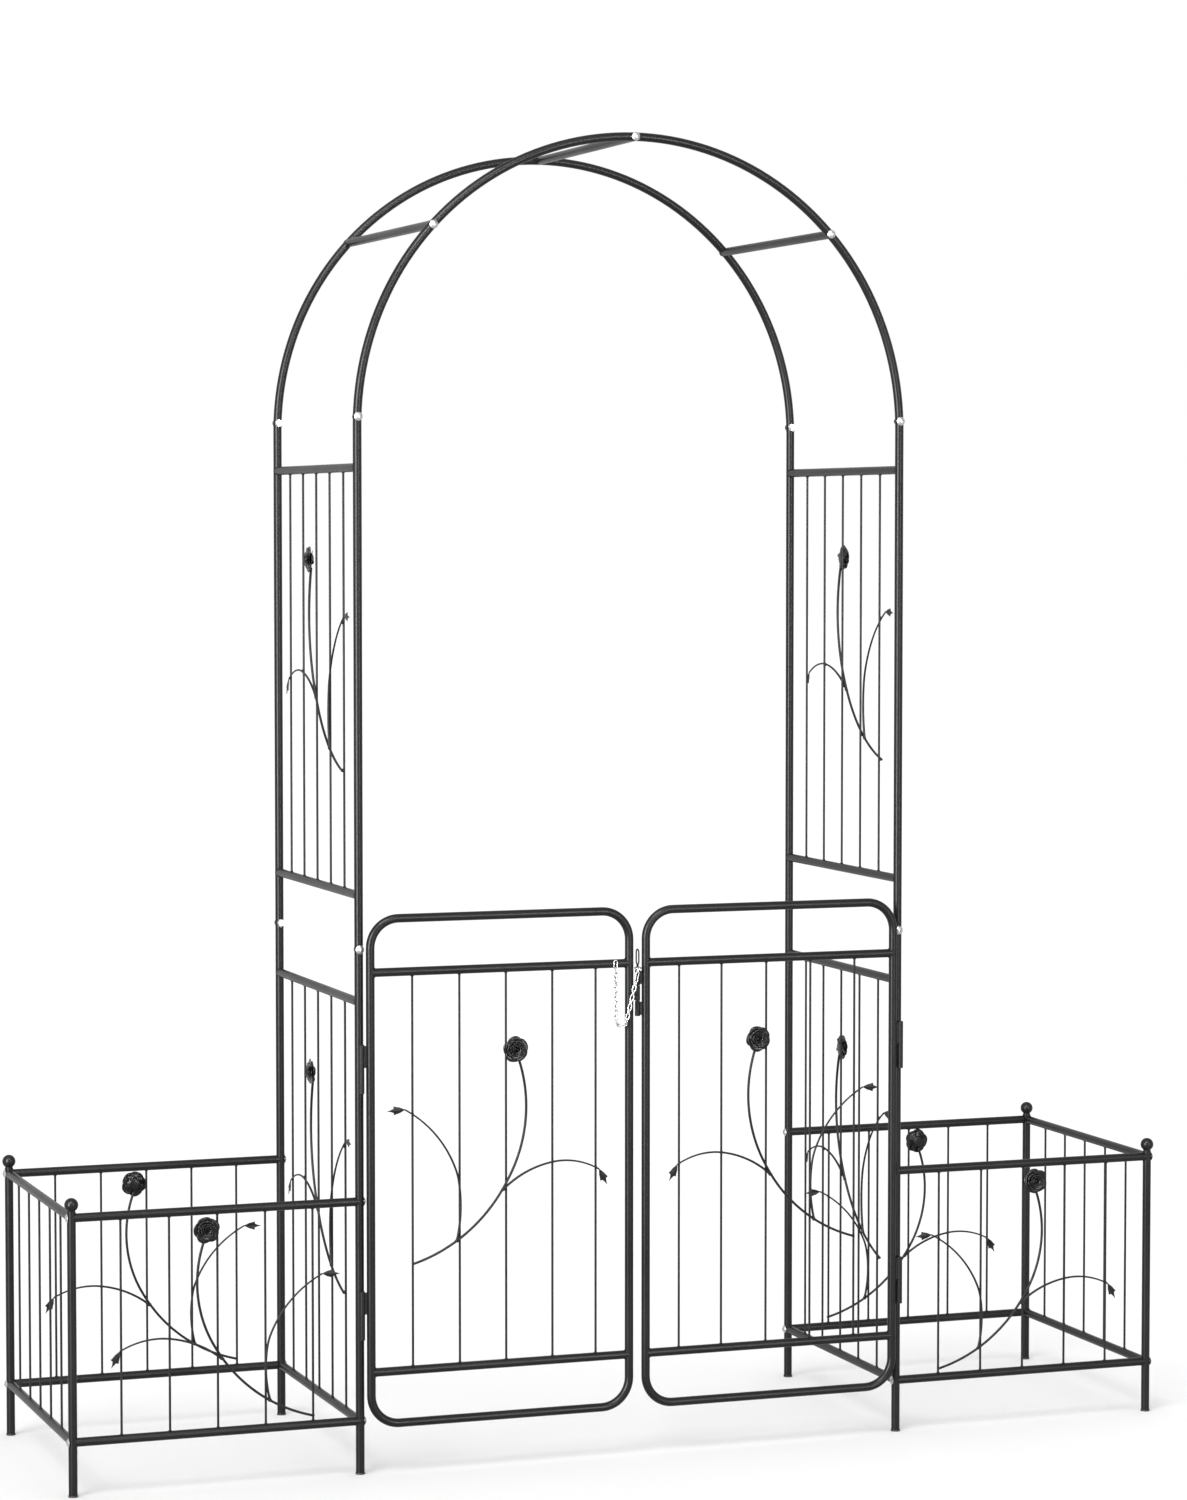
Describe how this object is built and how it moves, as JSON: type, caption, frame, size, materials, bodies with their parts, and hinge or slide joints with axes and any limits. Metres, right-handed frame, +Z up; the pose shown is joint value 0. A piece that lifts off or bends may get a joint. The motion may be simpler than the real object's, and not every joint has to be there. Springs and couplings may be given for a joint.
{
  "type": "garden arch with gates",
  "caption": "Garden arch of round steel tube with wire trellis sides, a pair of swinging gates closed by a drop pin on a chain, and an open planter frame on each side.",
  "frame": {"origin": "on the ground in the middle of the overall box", "axes": "+X along the width, to the right seen from the front; -Y to the front, where the gates hang; +Z up"},
  "size_m": [2.0234, 0.5522, 2.2985],
  "materials": {
    "tube_paint": "satin",
    "wire_paint": "satin",
    "stem_paint": "satin",
    "rose_paint": "satin",
    "fitting_paint": "satin",
    "bolt_zinc": "satin",
    "nut_zinc": "satin",
    "chain_zinc": "satin",
    "cap_plastic": "matte"
  },
  "bodies": {
    "frame": {"lower_frame_left": "tube_paint", "lower_frame_right": "tube_paint", "lower_wires_left": "wire_paint", "lower_wires_right": "wire_paint", "lower_stem_left": "stem_paint", "lower_stem_right": "stem_paint", "upper_frame_left": "tube_paint", "upper_frame_right": "tube_paint", "upper_wires_left": "wire_paint", "upper_wires_right": "wire_paint", "upper_stem_left": "stem_paint", "upper_stem_right": "stem_paint", "planter_end_left": "tube_paint", "planter_end_right": "tube_paint", "planter_end_wires_left": "wire_paint", "planter_end_wires_right": "wire_paint", "planter_rails_left": "tube_paint", "planter_rails_right": "tube_paint", "planter_wires_left": "wire_paint", "planter_wires_right": "wire_paint", "planter_stems_left": "stem_paint", "planter_stems_right": "stem_paint", "arch_front_left": "tube_paint", "arch_front_right": "tube_paint", "arch_back_left": "tube_paint", "arch_back_right": "tube_paint", "arch_crossbars": "tube_paint", "ball_finials": "tube_paint", "foot_caps": "cap_plastic", "panel_roses": "rose_paint", "panel_leaves": "stem_paint", "joint_bolts": "bolt_zinc", "joint_nuts": "nut_zinc", "rail_bolts": "bolt_zinc", "thread_inserts": "nut_zinc", "hinge_sockets": "fitting_paint", "hinge_pins": "fitting_paint"},
    "gate_left": {"gate_frame_left": "tube_paint", "gate_crossbars_left": "tube_paint", "gate_wires_left": "wire_paint", "gate_stem_left": "stem_paint", "gate_rose_left": "rose_paint", "gate_leaves_left": "stem_paint", "gate_knuckles_left": "fitting_paint", "latch_barrel_left": "fitting_paint", "chain_anchor": "chain_zinc", "latch_chain": "chain_zinc"},
    "gate_right": {"gate_frame_right": "tube_paint", "gate_crossbars_right": "tube_paint", "gate_wires_right": "wire_paint", "gate_stem_right": "stem_paint", "gate_rose_right": "rose_paint", "gate_leaves_right": "stem_paint", "gate_knuckles_right": "fitting_paint", "latch_barrels_right": "fitting_paint"},
    "latch_pin": {"latch_pin": "fitting_paint", "latch_ring": "chain_zinc"}
  },
  "joints": [
    {"name": "gate_left_swing", "type": "hinge", "parent": "frame", "child": "gate_left", "pos_m": [-0.5, -0.26, 0], "axis": [0, 0, -1], "range_deg": [0, 150]},
    {"name": "gate_right_swing", "type": "hinge", "parent": "frame", "child": "gate_right", "pos_m": [0.5, -0.26, 0], "axis": [0, 0, 1], "range_deg": [0, 150]},
    {"name": "latch_pin_lift", "type": "slide", "parent": "gate_left", "child": "latch_pin", "axis": [0, 0, 1], "range_m": [0, 0.09], "deforming": ["latch_chain"]}
  ]
}
